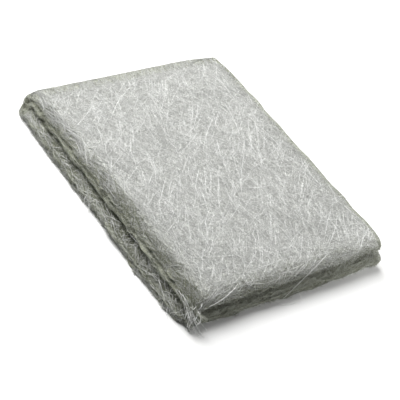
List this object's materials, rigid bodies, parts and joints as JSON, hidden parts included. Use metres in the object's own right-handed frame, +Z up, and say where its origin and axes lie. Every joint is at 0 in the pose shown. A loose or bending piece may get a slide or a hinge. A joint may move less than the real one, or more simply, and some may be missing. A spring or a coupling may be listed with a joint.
{
  "type": "fiberglass mat",
  "caption": "Chopped-strand glass-fibre mat, one sheet folded twice into a flat rectangular pad with frayed cut edges, lying flat.",
  "frame": {"origin": "centre of the folded pad's outline, on the surface it lies on", "axes": "+X across the short side towards the first fold, +Y along the long side towards the second fold, +Z up through the plies"},
  "size_m": [0.2082, 0.25, 0.0268],
  "materials": {
    "glass_fibre": "dry chopped glass strands, loosely bonded, matt with thin bright strands"
  },
  "bodies": {
    "root": {"mat": "glass_fibre"}
  },
  "joints": []
}
